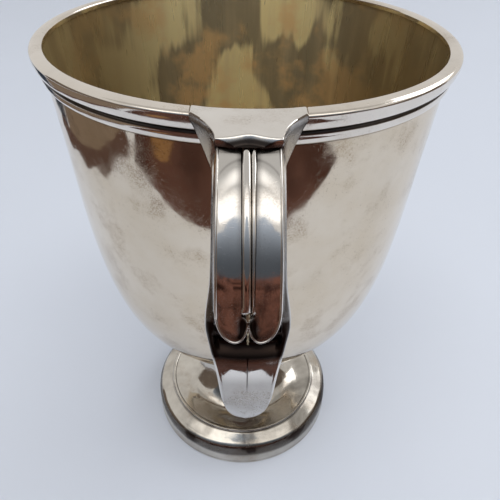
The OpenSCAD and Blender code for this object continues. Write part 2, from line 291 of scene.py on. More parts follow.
class Nodes:
    """Short names for the shader nodes that the materials share."""

    def __init__(self, name):
        self.material = bpy.data.materials.new(name)
        self.material.use_nodes = True
        self.tree = self.material.node_tree
        self.shader = self.tree.nodes["Principled BSDF"]
        self.place = self.tree.nodes.new("ShaderNodeTexCoord").outputs["Object"]

    def join(self, source, target):
        self.tree.links.new(source, target)

    def set(self, socket, value):
        if isinstance(value, bpy.types.NodeSocket):
            self.join(value, socket)
        else:
            socket.default_value = value

    def moved(self, scale, turn=(0, 0, 0)):
        node = self.tree.nodes.new("ShaderNodeMapping")
        node.inputs["Scale"].default_value = scale
        node.inputs["Rotation"].default_value = turn
        self.join(self.place, node.inputs["Vector"])
        return node.outputs["Vector"]

    def noise(self, scale, detail=3.0, rough=0.55, vector=None, distortion=0.0):
        node = self.tree.nodes.new("ShaderNodeTexNoise")
        node.inputs["Scale"].default_value = scale
        node.inputs["Detail"].default_value = detail
        node.inputs["Roughness"].default_value = rough
        node.inputs["Distortion"].default_value = distortion
        self.join(vector or self.place, node.inputs["Vector"])
        return node.outputs["Fac"]

    def span(self, value, low, high, to_low=0.0, to_high=1.0):
        node = self.tree.nodes.new("ShaderNodeMapRange")
        node.interpolation_type = "SMOOTHSTEP"
        for key, v in zip(("Value", "From Min", "From Max", "To Min", "To Max"),
                          (value, low, high, to_low, to_high)):
            self.set(node.inputs[key], v)
        return node.outputs["Result"]

    def math(self, operation, a, b=0.0, clamp=False):
        node = self.tree.nodes.new("ShaderNodeMath")
        node.operation = operation
        node.use_clamp = clamp
        self.set(node.inputs[0], a)
        self.set(node.inputs[1], b)
        return node.outputs[0]

    def mix(self, factor, a, b):
        node = self.tree.nodes.new("ShaderNodeMix")
        node.data_type = "RGBA"
        self.set(node.inputs["Factor"], factor)
        self.set(node.inputs["A"], a)
        self.set(node.inputs["B"], b)
        return node.outputs["Result"]

    def mark(self, name):
        node = self.tree.nodes.new("ShaderNodeAttribute")
        node.attribute_name = name
        return node.outputs["Fac"]

    def bump(self, height, strength, distance, under=None):
        node = self.tree.nodes.new("ShaderNodeBump")
        node.inputs["Strength"].default_value = strength
        node.inputs["Distance"].default_value = distance
        self.join(height, node.inputs["Height"])
        if under is not None:
            self.join(under, node.inputs["Normal"])
        return node.outputs["Normal"]


def silver(name, tint, warm, polish, haze, specks, wave=0.00006, dirt=0.1):
    """Old hand-polished silver: soft waves, fine scratches, hazy patches, specks, dark tarnish in hollows and
    painted shade from the tarnish_and_shade mark.
    """
    n = Nodes(name)
    clouds = n.noise(38, 4, 0.6)
    patches = n.noise(88, 4, 0.6)
    grain = n.noise(2600, 3, 0.8)
    stains = n.math("MULTIPLY", n.span(patches, 0.49, 0.68), n.span(grain, 0.34, 0.66))
    dots = n.math("MULTIPLY", n.span(n.noise(2600, 2, 0.5), 0.66, 0.74), n.span(clouds, 0.42, 0.6))
    smudges = n.span(n.noise(34, 3, 0.6, None, 0.6), 0.5, 0.72, 0.0, dirt)
    tarnish_and_shade = n.math("ADD", n.mark("tarnish_and_shade"), smudges, clamp=True)
    colour = n.mix(n.span(clouds, 0.3, 0.7), (*tint, 1), (*warm, 1))
    colour = n.mix(n.math("MULTIPLY", stains, specks), colour, BROWN_TARNISH)
    colour = n.mix(n.math("MULTIPLY", dots, specks), colour, DARK_TARNISH_AND_SHADE)
    # Darkened by the tarnish_and_shade mark: real tarnish in hollows, together with painted shade and painted
    # dark reflections placed by each mesh.
    colour = n.mix(tarnish_and_shade, colour, DARK_TARNISH_AND_SHADE)
    n.join(colour, n.shader.inputs["Base Color"])
    n.shader.inputs["Metallic"].default_value = 1.0

    rubbed = n.span(n.noise(240, 4, 0.65), 0.35, 0.75, polish, polish + haze)
    rough = n.math("ADD", rubbed, n.math("MULTIPLY", stains, 0.15))
    rough = n.math("ADD", rough, n.math("MULTIPLY", tarnish_and_shade, 0.22), clamp=True)
    n.join(rough, n.shader.inputs["Roughness"])

    fine = n.noise(1.0, 2, 0.6, n.moved((3200, 260, 900), (0.4, 0.2, 0.9)))
    cross = n.noise(1.0, 2, 0.6, n.moved((300, 3000, 700), (0.1, 0.7, 0.3)))
    scratches = n.math("ADD", n.span(fine, 0.64, 0.72), n.span(cross, 0.66, 0.74))
    soft = n.bump(n.noise(70, 2, 0.5), 1.0, wave)
    pitted = n.bump(dots, 0.1, 0.00003, soft)
    n.join(n.bump(scratches, 0.12, 0.00003, pitted), n.shader.inputs["Normal"])
    return n.material


def gilding(name):
    """Worn gilding inside the bowl: satin, in soft upright streaks that end raggedly, with painted brighter
    bands from the painted_sheen mark and painted shade towards the sides.
    """
    n = Nodes(name)
    streaks = n.noise(1.0, 4, 0.6, n.moved((150, 150, 14)))
    ragged = n.math("MULTIPLY", n.noise(1.0, 3, 0.6, n.moved((130, 130, 10))), 0.5)
    wide = n.noise(1.0, 2, 0.5, n.moved((34, 34, 22)), 0.4)
    # Painted highlight: the painted_sheen mark brightens the gilding in a band low in the bowl and darkens it
    # above and beside that band.
    painted_sheen_bands = n.math("MULTIPLY", n.mark("painted_sheen"), 0.13)
    uneven = n.math("ADD", n.math("MULTIPLY", wide, 0.75), ragged)
    patches = n.span(n.math("ADD", uneven, painted_sheen_bands), 0.58, 0.67)
    worn = n.noise(46, 4, 0.6)
    colour = n.mix(patches, (0.34, 0.285, 0.175, 1), (1.0, 0.85, 0.44, 1))
    colour = n.mix(n.span(streaks, 0.45, 0.75, 0.0, 0.4), colour, (0.74, 0.58, 0.33, 1))
    colour = n.mix(n.span(worn, 0.47, 0.64, 0.0, 0.7), colour, (0.92, 0.60, 0.27, 1))
    # Painted shade: darker gilding where the tarnish_and_shade mark is high, which inside the bowl is towards
    # the sides.
    colour = n.mix(n.mark("tarnish_and_shade"), colour, (0.24, 0.165, 0.07, 1))
    n.join(colour, n.shader.inputs["Base Color"])
    n.shader.inputs["Metallic"].default_value = 0.45
    n.join(n.span(streaks, 0.35, 0.7, 0.26, 0.36), n.shader.inputs["Roughness"])
    soft = n.bump(wide, 1.0, 0.0006)
    n.join(n.bump(streaks, 0.4, 0.0001, soft), n.shader.inputs["Normal"])
    return n.material


def solder():
    """Pale yellow solder strip, dull and slightly grained."""
    n = Nodes("solder")
    grain = n.noise(2200, 3, 0.6)
    n.join(n.mix(n.span(grain, 0.35, 0.65), (0.62, 0.53, 0.34, 1), (0.78, 0.71, 0.52, 1)),
           n.shader.inputs["Base Color"])
    n.shader.inputs["Metallic"].default_value = 1.0
    n.join(n.span(grain, 0.3, 0.7, 0.28, 0.5), n.shader.inputs["Roughness"])
    n.join(n.bump(grain, 0.3, 0.00003), n.shader.inputs["Normal"])
    return n.material


BOWL_SILVER = silver("bowl_silver", (0.78, 0.69, 0.565), (0.70, 0.595, 0.455), 0.04, 0.06, 0.65,
                     wave=0.00008, dirt=0.06)
RIM_SILVER = silver("rim_silver", (0.86, 0.80, 0.725), (0.77, 0.705, 0.625), 0.07, 0.10, 0.35)
FOOT_SILVER = silver("foot_silver", (0.71, 0.67, 0.605), (0.40, 0.372, 0.328), 0.07, 0.10, 0.5,
                     wave=0.0003, dirt=0.6)
HANDLE_SILVER = silver("handle_silver", (0.88, 0.845, 0.80), (0.78, 0.735, 0.68), 0.06, 0.10, 0.3)
GILDING = gilding("gilding")
SOLDER = solder()

# ---------------------------------------------------------------------------
# Bowl and rim
# ---------------------------------------------------------------------------


def bowl_waves(turn, z):
    """Soft unevenness of a hand-raised wall, in millimetres, fading out at the rim and the bottom."""
    fade = smooth(RIM_Z - z, 6, 22) * smooth(z - BOWL_FOOT_Z, 2, 14)
    return fade * (
        0.05 * np.sin(3 * turn + 0.045 * z + 0.6)
        + 0.045 * np.sin(7 * turn - 0.09 * z + 2.1)
        + 0.025 * np.sin(13 * turn + 0.13 * z + 0.4) * np.sin(0.11 * z + 1.0)
        + 0.012 * np.sin(29 * turn + 0.31 * z) * np.sin(0.21 * z + 4 * turn)
    )


def make_bowl():
    close, steps, segments = 48, 130, 320
    close_depth = 10.5
    t = np.linspace(0, 1, steps + 1)[1:-1]
    turn = np.linspace(0, 2 * np.pi, segments, endpoint=False)[None, :]

    def side(radius, height):
        top = np.linspace(RIM_SEAT, close_depth, close)
        below = close_depth + (height - close_depth) * (1 - (1 - t) ** 2.3)
        depth = np.concatenate([top, below])
        return bowl_law(depth, radius, height)[:, None], (RIM_Z - depth)[:, None]

    out_r, out_z = side(BODY_R, BOWL_H)
    in_r, in_z = side(BODY_R - WALL, BOWL_H - WALL)
    rings = []
    for r, z in ((out_r, out_z), (in_r[::-1], in_z[::-1])):
        wavy = r + bowl_waves(turn, z) * np.minimum(1, r / 30)
        rings.append(np.stack(np.broadcast_arrays(wavy * np.sin(turn), -wavy * np.cos(turn), z), -1))
    outside = rings[0].reshape(-1, 3)
    inside = rings[1].reshape(-1, 3)
    rows = len(out_r)
    verts = np.concatenate([outside, inside, [[0, 0, BOWL_FOOT_Z], [0, 0, BOWL_FOOT_Z + WALL]]])
    shell = grid_faces(rows, segments, False, True)
    offset = rows * segments
    faces = list(shell)
    faces += [tuple(v + offset for v in f) for f in shell]
    under, well = 2 * offset, 2 * offset + 1
    last = (rows - 1) * segments
    for i in range(segments):
        j = (i + 1) % segments
        faces.append((last + i, under, last + j))
        faces.append((offset + j, well, offset + i))
        faces.append((offset + last + j, offset + last + i, i, j))
    slots = [0] * len(shell) + [1] * len(shell) + [0, 1, 0] * segments
    tarnish_and_shade = np.zeros(len(verts))
    depth = RIM_Z - outside[:, 2]
    reed_low = BEAD_H + GROOVE_H + (box_mm("rim_reed")[1][2] - box_mm("rim_reed")[0][2])
    # Darker in the groove under the bead and in a line under the reed: tarnish and painted shade.
    in_groove = smooth(depth, BEAD_H - 0.4, BEAD_H) * (1 - smooth(depth, BEAD_H + 0.4, BEAD_H + 0.8))
    tarnish_and_shade[:offset] = in_groove
    tarnish_and_shade[:offset] += 0.8 * hump(depth, reed_low + 0.05, 0.3)
    # The gilding inside is darkened towards the sides between the handles: painted shade and painted dark
    # reflection, not tarnish.
    aside = np.abs(inside[:, 0]) / np.hypot(inside[:, 0], inside[:, 1])
    tarnish_and_shade[offset:2 * offset] = 0.85 * smooth(aside, 0.4, 0.95)
    # Painted highlight for the gilding: a bright upright band low inside the bowl, with darker gilding above
    # it and beside it.
    painted_sheen = np.zeros(len(verts))
    low_part = 2 * smooth(RIM_Z - inside[:, 2], 15, 28) - 1
    painted_sheen[offset:2 * offset] = np.cos((inside[:, 0] + 6) / 7.0) * low_part * hump(inside[:, 0], 0, 40)
    marks = {"tarnish_and_shade": tarnish_and_shade, "painted_sheen": painted_sheen}
    piece = make_piece("bowl_shell", verts, faces, [BOWL_SILVER, GILDING], marks, slots, 60)
    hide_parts("bowl")


def round_face(outer_r, top, width, above, below, under=None):
    """The face of a wire: a quarter oval over its widest point and one under it."""
    under = width if under is None else under
    height = RIM_Z - top - above
    over = arc((outer_r - width, height), (width, above), 90, 0, 14)
    return over + arc((outer_r - under, height), (under, below), 0, -90, 24)[1:]


def bead_outline():
    lip, above = 0.9, 1.2
    return (
        [(float(bowl_r(BEAD_H)) - 0.2, RIM_Z - BEAD_H),
         (float(bowl_r(RIM_SEAT)) - 0.05, RIM_Z - RIM_SEAT), (MOUTH_R, RIM_Z - RIM_SEAT)]
        + arc((MOUTH_R + lip, RIM_Z - lip), (lip, lip), 180, 90, 10)
        + round_face(BEAD_R, 0, 2.2, above, BEAD_H - above, 1.5)
    )


def bead_gap(z):
    """Half width of the gap for a cap: under the caps the bead runs on into the roots' sides."""
    return CAP_HALF - 1.4 * np.clip((RIM_Z - z - RIM_SEAT) / (BEAD_H - RIM_SEAT), 0, 1)


REED_RAISE = 0.95  # the groove above the reed is thinner in the photograph than in CAD


def make_rim():
    # Darker under the bead where it meets the bowl: tarnish and painted shade.
    def bead_tarnish_and_shade(r, z):
        return 0.95 * float(smooth(RIM_Z - z, BEAD_H - 0.35, BEAD_H) * (r < BEAD_R - 0.9))

    # Dark lines along the reed's upper and lower edges: tarnish and painted shade.
    def reed_tarnish_and_shade(r, z):
        edge = min(z - low[2], high[2] - z)
        return 0.9 * float(1 - smooth(edge, 0.02, 0.16))

    for name, side in (("rim_bead_left", -1), ("rim_bead_right", 1)):
        piece = spin(f"{name}_wire", bead_outline(), [RIM_SILVER], name, 240, bead_tarnish_and_shade,
                     ends=(bead_gap, side))
    low, high = box_mm("rim_reed")
    top, above = RIM_Z - high[2] - REED_RAISE, 1.4
    outline = [(float(bowl_r(RIM_Z - low[2])) - 0.3, low[2]), (float(bowl_r(top)) - 0.3, RIM_Z - top)]
    outline += round_face(high[0], top, 1.3, above, RIM_Z - top - low[2] - above)
    piece = spin("rim_reed_wire", outline, [RIM_SILVER], "rim_reed", 320, reed_tarnish_and_shade)


# ---------------------------------------------------------------------------
# Stem and foot
# ---------------------------------------------------------------------------

FOOT_H = STEP_TOP - 0.9
ANNULUS_OUT = STEP_R - 1.4


def spun_waves(r, z, turn):
    """Small dents of a spun foot."""
    dents = (
        0.16 * np.sin(2 * turn + 0.7) * np.sin(0.5 * z)
        + 0.08 * np.sin(5 * turn + 0.3 * z + 1.9)
        + 0.05 * np.sin(9 * turn + 0.5 * z)
    )
    dish = hump(r, 24, 6) * smooth(z, 8, 11)
    z = z + dish * (0.22 * np.sin(2 * turn + 0.12 * r + 2.2) + 0.14 * np.sin(5 * turn + 0.3 * r) - 0.36)
    inset = 0.29 * smooth(z, 1.6, 4) * smooth(r, NECK_R, 24)
    return r + dents * smooth(z, 1.6, 4) * smooth(r, NECK_R, 24) - inset, z + 0 * turn


def stem_outline():
    low = FOOT_H + 0.4
    high = low + 1.3
    t = np.linspace(0, 1, 60)[1:]
    r = NECK_R + (ANNULUS_IN - NECK_R) * (1 - t) ** 2.6
    z = high + (COLLAR_Z - high) * t**1.25
    annulus = [(ANNULUS_OUT + 0.2, low + 0.3), (ANNULUS_IN + 2, high - 0.42), (ANNULUS_IN, high)]
    outside = annulus + list(zip(r, z))
    inside = [(pr - SPUN_T * (1 if pz > FOOT_H + 2 else 0.4), pz - SPUN_T * 0.9) for pr, pz in outside]
    return outside + inside[::-1]


# The rounded shoulder over the band: height over the band, and how far it has turned inwards.
SHOULDER = [(-0.2, 0), (0.3, 0.02), (0.95, 0.08), (1.8, 0.26),
            (2.7, 0.6), (3.5, 1.15), (4.2, 2.05), (4.66, 3)]


def moulding_outline():
    def side(shrink):
        wide = FOOT_R - 0.12 - shrink
        band = [(wide - 0.02 * (BAND_H - h) ** 1.5, h) for h in np.linspace(BASE_WIRE_H, BAND_H - 0.6, 12)]
        fine = np.linspace(SHOULDER[0][0], SHOULDER[-1][0], 30)
        inset = curve(fine, SHOULDER)
        squash = 1 - 0.5 * shrink / SHOULDER[-1][0]
        shoulder = [(wide - i, BAND_H + f * squash) for i, f in zip(inset, fine)]
        return band + shoulder + [(STEP_R, FOOT_H - shrink)]

    return (side(0) + [(STEP_R - 0.3, FOOT_H), (ANNULUS_OUT, FOOT_H - 0.3),
                       (ANNULUS_OUT, FOOT_H - 0.6 - SPUN_T)] + side(SPUN_T)[::-1])


def collar_outline():
    belly, fillet = 2.1, COLLAR_R - 1.9
    return (
        [(10.4, COLLAR_Z), (fillet, COLLAR_Z), (fillet, COLLAR_Z + 1)]
        + arc((COLLAR_R - belly, COLLAR_Z + 1 + belly), (belly, belly), -90, 90, 24)
        + [(fillet, COLLAR_Z + 1 + 2 * belly), (fillet, COLLAR_Z + 2 + 2 * belly),
           (fillet + 1.2, BOWL_FOOT_Z - 0.2), (fillet + 1.9, BOWL_FOOT_Z + 0.5), (10.4, BOWL_FOOT_Z - 0.1)]
    )


def make_foot():
    # Darker round the given joints of the foot: tarnish and painted shade.
    def near(places, spread):
        def level(r, z):
            return float(max(0.9 * hump(r, pr, spread) * hump(z, pz, spread) for pr, pz in places))
        return level

    step = (
        [(ANNULUS_OUT, FOOT_H - 0.6)]
        + arc((ANNULUS_OUT + 0.4, STEP_TOP - 0.4), (0.4, 0.4), 180, 90, 8)
        + arc((STEP_R - 0.7, STEP_TOP - 0.7), (0.7, 0.7), 90, 0, 12)
        + [(STEP_R, FOOT_H - 0.6)]
    )
    inner = BASE_WIRE_R - 3.4
    base_r = BASE_WIRE_R - 0.55
    base = (
        [(inner, 0), (base_r, 0)]
        + arc((base_r, BASE_WIRE_H / 2), (0.4, BASE_WIRE_H / 2), -90, 90, 12)
        + [(inner, BASE_WIRE_H)]
    )

    # A dark band painted round the foot's upright band under the shoulder: painted dark reflection. The
    # joints at the step and the base wire are darkened too: tarnish and painted shade.
    def band_tarnish_and_shade(r, z):
        painted_dark_band = float(smooth(z, 5.0, 7.2) * (1 - smooth(z, 10.4, 11.2)) * (r > FOOT_R - 3.5))
        return max(0.8 * painted_dark_band, 0.6 * near([(STEP_R, FOOT_H), (FOOT_R, BASE_WIRE_H)], 0.5)(r, z))

    pieces = (
        ("stem", "stem_trumpet", stem_outline(), None, spun_waves),
        ("foot_moulding", "foot_moulding_shell", moulding_outline(), band_tarnish_and_shade, spun_waves),
        ("bowl_collar", "bowl_collar_knop", collar_outline(),
         near([(COLLAR_R - 1.9, COLLAR_Z + 1), (COLLAR_R - 1.9, COLLAR_Z + 5.2)], 0.5), None),
        ("foot_step", "foot_step_ring", step, near([(STEP_R, FOOT_H - 0.3)], 0.1), None),
        ("foot_base_wire", "foot_base_ring", base, near([(BASE_WIRE_R, BASE_WIRE_H)], 0.3), None),
    )
    for node, name, outline, tarnish_and_shade, waves in pieces:
        piece = spin(name, outline, [FOOT_SILVER], node, 256, tarnish_and_shade, 1.2, wobble=waves)


# ---------------------------------------------------------------------------
# Handles
# ---------------------------------------------------------------------------

LIP_X = 6.15
LOBE_X = 2.26
FLUTE_D = 0.8
RIB_TOP_HALF = 1.4


def rib_half(angle):
    """Half width of the pair of ribs, which narrows down the strap."""
    return RIB_TOP_HALF - 0.32 * np.clip((angle - START_ANGLE) / (RIB_END - START_ANGLE), 0, 1)


def lobe_limit(x):
    """How far along the handle, in mm past or before the lobe's end, the flute reaches at x."""
    outer = np.clip((x - LOBE_X) / (LIP_X - LOBE_X), 0, 0.9999)
    inner = np.clip((LOBE_X - x) / 2.35, 0, 0.9999)
    return np.where(x > LOBE_X, -6.5 * (1 - np.sqrt(1 - outer**2)), -4.5 * (1 - np.sqrt(1 - inner**2)))


def inside_lobe(x, angle):
    """Distance in mm inside the flute's sharp lip; negative outside it."""
    along = (angle - LOBE_END) * math.radians(1) * UPPER_BEND
    step = 0.02
    slope = (lobe_limit(x + step) - lobe_limit(np.abs(x - step))) / (2 * step)
    ahead = (lobe_limit(x) - along) / np.sqrt(1 + slope**2)
    return np.minimum(LIP_X - x, ahead)


def arch_start(x):
    return 23.5 + 6.5 * ((np.abs(x) - RIB_TOP_HALF) / (LIP_X - RIB_TOP_HALF)).clip(0, 1) ** 2


def fluted(x, angle):
    """1 where the front is hollowed: the flutes start in an arch below the cap."""
    start = arch_start(x)
    return smooth(angle, start, start + 8)


def body_depth(x, angle):
    """Front of the handle's body, behind the lips, and of the flatter tongue below them."""
    w = half_width(angle)
    tongue = smooth(angle, LOBE_END, 88) * (1 - smooth(angle, 98, 120))
    round_crown = thickness(angle) * 0.5 * (1 - np.sqrt(np.clip(1 - (x / w) ** 2, 0, None)))
    corner = np.clip((x - (w - 1.0)) / 1.0, 0, 1)
    flat_crown = 0.4 * (x / w) ** 2 + 1.3 * (1 - np.sqrt(1 - corner**2))
    crown = round_crown * (1 - tongue) + flat_crown * tongue
    recess = 1.9 * hump(angle, LOBE_END + 2.0, 2.7)
    recess = recess + 0.4 * smooth(angle, 66, 72) * (1 - smooth(angle, 74, 84))
    recess = recess * (1 - smooth(x, w - 2.2, w - 0.6))
    ridge = 0.12 * hump(x, 0, 0.5) * smooth(angle, 84, 92) * (1 - smooth(angle, 130, 150))
    edge = 0.22 * hump(x, w - 0.75, 0.22) * tongue
    return crown + recess - ridge - edge + 0.25


def front_depth(x, angle):
    e = inside_lobe(x, angle)
    painted_dark_band = fluted(x, angle)
    t = np.clip((e - 0.4) / 3.1, 0, 1)
    scoop = 0.5 * hump(angle, LOBE_END - 5.0, 2.8) * hump(x, 1.0, 1.5) * smooth(e, 0.3, 1.4)
    shallow = 1 - 0.75 * smooth(angle, LOBE_END - 10, LOBE_END - 2)
    flute = (FLUTE_D * shallow * (1 - (1 - t) ** 1.7) + scoop) * painted_dark_band
    beside = x - rib_half(angle)
    groove = 1.5 * (1 - smooth(beside, -0.04, 0.2)) * (1 - smooth(angle, RIB_END, RIB_END + 2))
    plain = 0.35 * smooth(LIP_X - x, 0.2, 3.5) * (1 - painted_dark_band)
    crest = 0.2 * np.clip(np.abs(e - 0.22) / 0.22, 0, 1) ** 2
    panel = np.maximum(flute + plain, groove) + crest
    edge = np.minimum(-e * 4.0 + 0.16, body_depth(x, angle))
    return np.where(e > 0, panel, np.maximum(edge, 0.0))


def front_tarnish_and_shade(x, angle):
    """Darkening of the handle's front: tarnish and painted shade beside the rib wires, painted shade under
    the ribs, under the cap, at the flutes' arch and in the lobes' ends, painted dark reflection outside the
    lips, a darker tongue and a dark seam.
    """
    e = inside_lobe(x, angle)
    w = half_width(angle)
    # Darker in the groove beside the rib wires: tarnish and painted shade.
    beside_rib = hump(x, rib_half(angle) + 0.05, 0.1) * (1 - smooth(angle, RIB_END, RIB_END + 1))
    # Painted shade under the rib wires.
    under_rib = (x < rib_half(angle) - 0.05) * (angle < RIB_END)
    # Painted shade under the cap's edge.
    under_cap = 1 - smooth(angle, START_ANGLE + 0.6, START_ANGLE + 3.2)
    # Darker beside the rib in the upper strap: tarnish and painted shade.
    by_rib = 0.5 * hump(x, rib_half(angle) + 0.25, 0.6) * (1 - smooth(angle, 32, 60))
    # Painted shade along the arch where the flutes start.
    arch = 0.28 * hump(angle - arch_start(x), 0.6, 0.55) * smooth(e, 0.3, 0.9)
    # The tongue is darkened, except along its edges.
    tongue = 0.4 * smooth(angle, 84, 90) * (1 - smooth(x, w - 0.7, w - 0.2))
    # Painted shade just past the lips' lower ends, where the front steps under them.
    beyond = smooth(-e, 0.05, 0.25) * smooth(angle, 68, 72) * (1 - smooth(angle, LOBE_END + 5, LOBE_END + 9))
    beyond *= 1 - 0.8 * smooth(x, w - 0.5, w - 0.1)
    # Painted dark reflection outside the lips, left light along the outer edge lower down.
    bright_edge = 0.8 * smooth(x, w - 0.45, w - 0.1) * smooth(angle, 50, 64)
    outside_lip = smooth(-e, 0.0, 0.2) * (1 - bright_edge) * smooth(angle, 28, 44)
    outside_lip *= 1 - smooth(angle, LOBE_END + 1, LOBE_END + 8)
    # Painted shade in the lobes' lower ends, which also hides highlights there.
    pit = np.maximum(hump(x, 1.0, 1.0) * hump(angle, LOBE_END - 5, 3.0),
                     hump(x, 0.5, 1.2) * hump(angle, LOBE_END - 1.8, 2.0))
    # Painted shade near the lobes' lower ends.
    low_end = 0.6 * hump(e, 1.1, 0.75) * smooth(angle, LOBE_END - 7, LOBE_END - 2)
    seam = hump(x, 0, 0.10) * smooth(angle, LOBE_END, LOBE_END + 1) * (1 - smooth(angle, 84, 95))
    level = 0.8 * beside_rib + under_rib + 0.6 * under_cap + 0.75 * beyond + 0.8 * outside_lip
    level = level + by_rib + arch + tongue
    return np.clip(level + 1.2 * pit * smooth(e, 0.35, 0.6) + low_end + seam, 0, 1)


def handle_section(angle):
    """Outline of one half at each angle: x, depth and the tarnish_and_shade mark, one row for each angle."""
    angle = angle[:, None]
    w = half_width(angle)
    t = thickness(angle)
    frozen = np.minimum(angle, 70.0)
    split = LIP_X * w / half_width(frozen)
    inner = split * np.linspace(0, 1, 84)[None, :]
    outer = split + (w - split) * np.sin(np.linspace(0, np.pi / 2, 15)[None, 1:])
    x = np.concatenate([inner, outer], 1)
    wide = np.broadcast_to(angle, x.shape)
    depth = front_depth(np.minimum(x, w * 0.99999), wide)
    tarnish_and_shade = front_tarnish_and_shade(x, wide)
    side_d = depth[:, -1:]
    turn = np.linspace(0, np.pi / 2, 25)[None, 1:]
    back_x = w * np.cos(turn) ** 0.7
    back_d = side_d + 0.4 + (t - side_d - 0.4) * np.sin(turn) ** 0.9
    x = np.concatenate([x, back_x], 1)
    x[:, -1] = 0
    depth = np.concatenate([depth, back_d], 1)
    tarnish_and_shade = np.concatenate([tarnish_and_shade, np.zeros_like(back_x)], 1)
    return x, depth, tarnish_and_shade


def handle_angles():
    spans = ((START_ANGLE, 24, 0.3), (24, 32, 0.15), (32, 64, 0.35), (64, 80, 0.08), (80, 95, 0.3))
    parts = [np.arange(*span) for span in spans]
    return np.concatenate(parts + [np.linspace(95, END_ANGLE, 90)])


def make_half(node, side, turned):
    angles = handle_angles()
    x, depth, tarnish_and_shade = handle_section(angles)
    points = on_handle(side * x, depth, angles[:, None], turned)
    last = points[-1].copy()
    reach = bowl_r(RIM_Z - last[:, 2]) - 0.3
    last[:, 1] = np.sign(last[:, 1]) * np.sqrt(reach**2 - last[:, 0] ** 2)
    k = np.linspace(0, 1, 12)[1:]
    join = points[-1][None] + (last - points[-1])[None] * k[:, None, None]
    points = np.concatenate([points, join])
    # Darker where the handle reaches the bowl: tarnish and painted shade.
    at_wall = 0.7 * smooth(k, 0.8, 1)[:, None]
    tarnish_and_shade = np.concatenate([tarnish_and_shade, np.repeat(at_wall, tarnish_and_shade.shape[1], 1)])
    piece = make_piece(f"{node}_shell", points.reshape(-1, 3), tube_faces(*points.shape[:2]), [HANDLE_SILVER],
                       {"tarnish_and_shade": tarnish_and_shade.ravel()}, None, 50)
    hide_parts(node)


def make_rib(node, top_span, end_span, proud, turned):
    """A half-round wire in the strap's groove, with a worn end over the lobes."""
    last = RIB_END - 0.5
    angles = np.linspace(START_ANGLE + 0.1, last, 190)[:, None]
    k = (angles - START_ANGLE) / (last - START_ANGLE)
    low = (1 - k) * top_span[0] + k * end_span[0]
    high = (1 - k) * top_span[1] + k * end_span[1]
    flare = 0.45 * smooth(k, 0.95, 1.0)
    low, high = low - flare * (low < 0), high + flare * (high > 0.8)
    turn = np.pi * (0.5 + 0.5 * np.cos(np.linspace(0, np.pi, 33)))[None, :]
    base = 1.55
    x = (low + high) / 2 + (high - low) / 2 * np.cos(turn)
    top = base + proud
    depth = base - top * np.sin(turn) ** 0.34 + 0.35 * smooth(k, 0.985, 1.0) + 0 * x
    points = on_handle(x, depth, angles, turned)
    # Darker along the wire's sides in the groove, and at its top end under the cap: tarnish and painted
    # shade.
    tarnish_and_shade = np.broadcast_to(np.clip(3 * (1 - np.sin(turn)) - 2.3, 0, 1), x.shape)
    tarnish_and_shade = np.maximum(tarnish_and_shade, 0.8 * (1 - smooth(k, 0.0, 0.03)))
    piece = make_piece(f"{node}_wire", points.reshape(-1, 3), tube_faces(*points.shape[:2]), [HANDLE_SILVER],
                       {"tarnish_and_shade": tarnish_and_shade.ravel()}, None, 50)
    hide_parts(node)


def make_seam_strip(node, turned):
    """The thin solder strip between the lobes: it narrows and ends ragged."""
    angles = np.linspace(RIB_END - 0.4, LOBE_END + 1.2, 60)[:, None]
    k = (angles - angles[0]) / (angles[-1] - angles[0])
    half = 0.30 - 0.14 * k + 0.03 * np.sin(23 * k) + 0.02 * np.sin(51 * k + 1)
    top = 0.25 + 0.95 * k**1.5 + 0.05 * np.sin(31 * k)
    base = np.maximum(top + 0.25, 1.9)
    x = np.concatenate([-half, -half, -half * 0.4, half * 0.4, half, half], 1)
    depth = np.concatenate([base, top + 0.1, top, top, top + 0.1, base], 1)
    points = on_handle(x, depth, angles, turned)
    piece = make_piece(f"{node}_solder", points.reshape(-1, 3), tube_faces(*points.shape[:2]), [SOLDER])
    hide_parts(node)


def flare_w(y):
    t = np.clip((CAP_FRONT - 0.5 - y) / (CAP_FRONT - 0.5 - FLARE_START), 0, 1)
    return CAP_WAIST + (CAP_HALF - CAP_WAIST) * t**1.9


